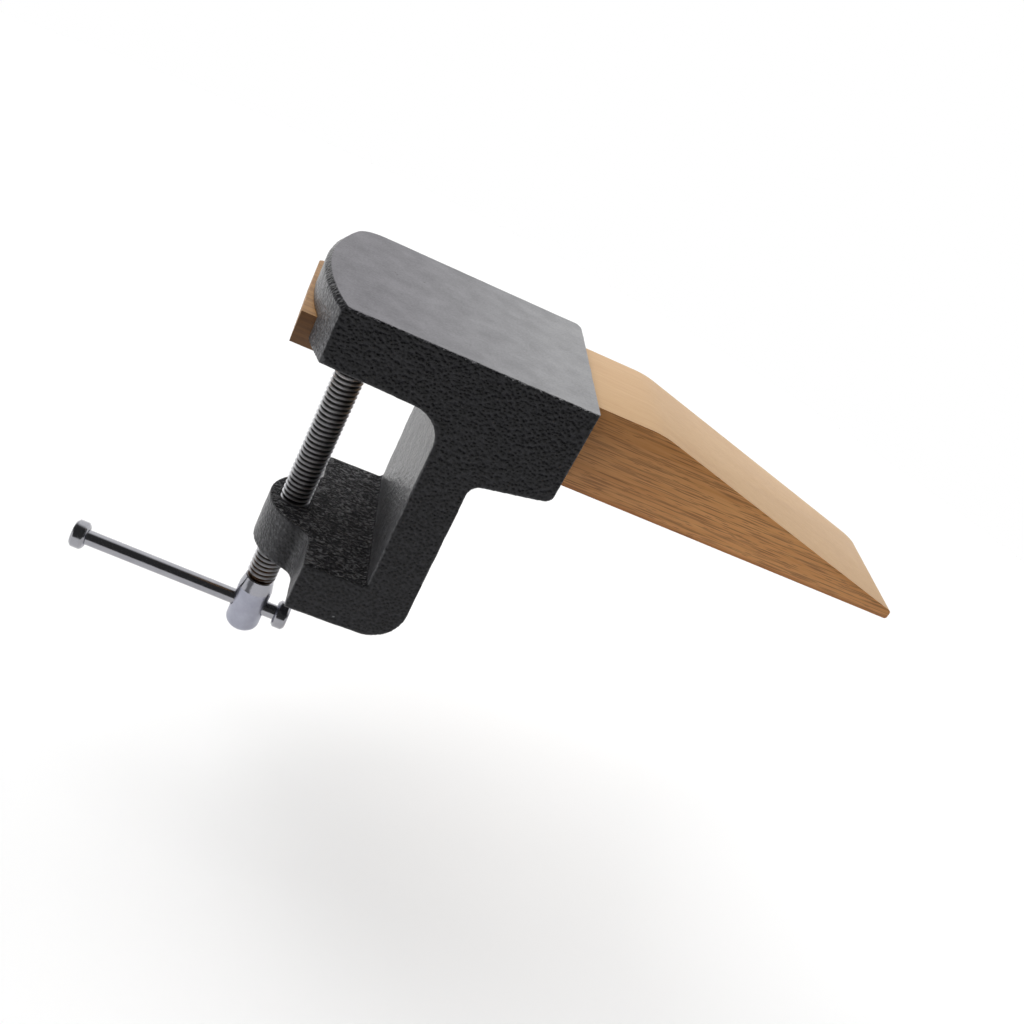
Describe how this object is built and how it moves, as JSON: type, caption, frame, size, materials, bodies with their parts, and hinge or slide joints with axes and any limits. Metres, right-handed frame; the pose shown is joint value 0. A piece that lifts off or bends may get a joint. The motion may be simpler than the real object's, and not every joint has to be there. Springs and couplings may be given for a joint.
{
  "type": "jeweller's bench anvil clamp with bench pin",
  "caption": "Painted iron C-clamp with a ground anvil face on top, a tapered wooden bench pin held in a groove under it, and a clamp screw with a sliding bar.",
  "frame": {"origin": "where the clamp screw's axis meets the ground anvil face", "axes": "+X from the rounded nose towards the pin's tip, +Z out of the anvil face, +Y across the anvil"},
  "size_m": [0.2319, 0.066, 0.1258],
  "materials": {
    "casting": "charcoal hammertone paint with a bare ground top face",
    "beech": "sanded, unvarnished",
    "screw_steel": "plated, with dull thread flanks",
    "pad_steel": "plated",
    "plated_bar": "bright plated"
  },
  "bodies": {
    "frame": {"clamp_frame": "casting"},
    "pin": {"bench_pin": "beech"},
    "pad": {"swivel_pad": "pad_steel"},
    "screw": {"clamp_screw": "screw_steel"},
    "bar": {"tommy_bar": "plated_bar", "bar_cap_left": "plated_bar", "bar_cap_right": "plated_bar"}
  },
  "joints": [
    {"name": "pin_slide", "type": "slide", "parent": "frame", "child": "pin", "axis": [1, 0, 0], "range_m": [0, 0.08]},
    {"name": "screw_travel", "type": "slide", "parent": "frame", "child": "pad", "axis": [0, 0, 1], "range_m": [-0.0475, 0.0011]},
    {"name": "screw_turn", "type": "hinge", "parent": "pad", "child": "screw", "pos_m": [0, 0, -0.11], "axis": [0, 0, 1], "range_deg": [-10600, 230]},
    {"name": "bar_slide", "type": "slide", "parent": "screw", "child": "bar", "axis": [0.998, -0.0628, 0], "range_m": [-0.003, 0.047]}
  ],
  "couplings": [
    {"joint": "screw_travel", "follows": "screw_turn", "m_per_rad": 0.00025266}
  ]
}
